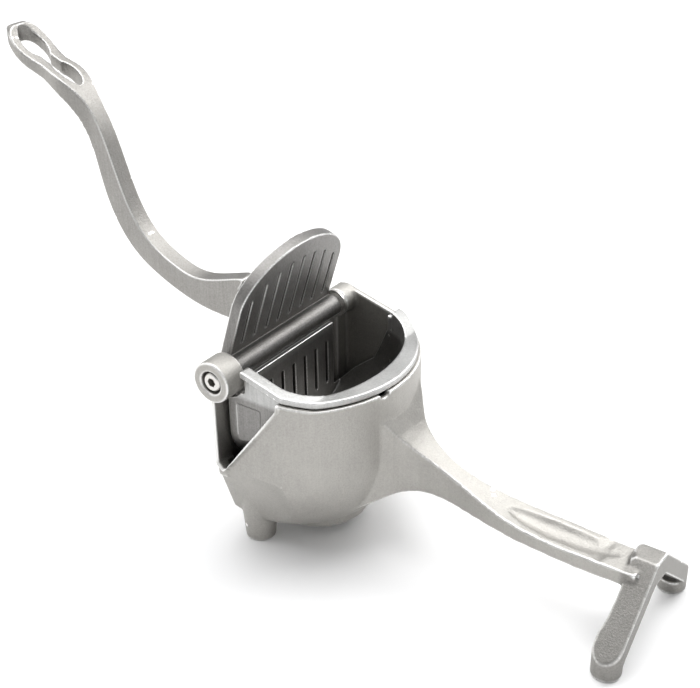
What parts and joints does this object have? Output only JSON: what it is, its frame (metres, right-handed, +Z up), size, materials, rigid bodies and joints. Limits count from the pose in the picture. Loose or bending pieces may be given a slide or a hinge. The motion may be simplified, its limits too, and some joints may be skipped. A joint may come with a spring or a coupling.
{
  "type": "hand citrus press",
  "caption": "Hand citrus press: a spouted cup on a footed handle, a lift-out slotted strainer, and a hinged lever that swings a grooved press plate into the cup.",
  "frame": {"origin": "on the floor, under the middle of the press's whole length and width at rest", "axes": "+Z up; +X from the hinge towards the tee foot at the end of the lower handle; the pour spout is on the -Y side; the hinge axis is parallel to Y"},
  "size_m": [0.2791, 0.0824, 0.1676],
  "materials": {
    "cast_aluminium": "satin cast and sand-blasted, with brushed bright edges",
    "stainless_steel": "turned stainless steel"
  },
  "bodies": {
    "cup": {"cup_body": "cast_aluminium", "hinge_bolt": "stainless_steel"},
    "lever": {"press_lever": "cast_aluminium", "washer_near": "stainless_steel", "washer_far": "stainless_steel"},
    "basket": {"strainer": "cast_aluminium"}
  },
  "joints": [
    {"name": "lever_hinge", "type": "hinge", "parent": "cup", "child": "lever", "pos_m": [-0.0099, 0.0018, 0.072], "axis": [0, 1, 0], "range_deg": [0, 152]},
    {"name": "strainer_tilt", "type": "hinge", "parent": "cup", "child": "basket", "pos_m": [-0.0099, 0.0018, 0.072], "axis": [0, 1, 0], "range_deg": [-8, 0]}
  ]
}
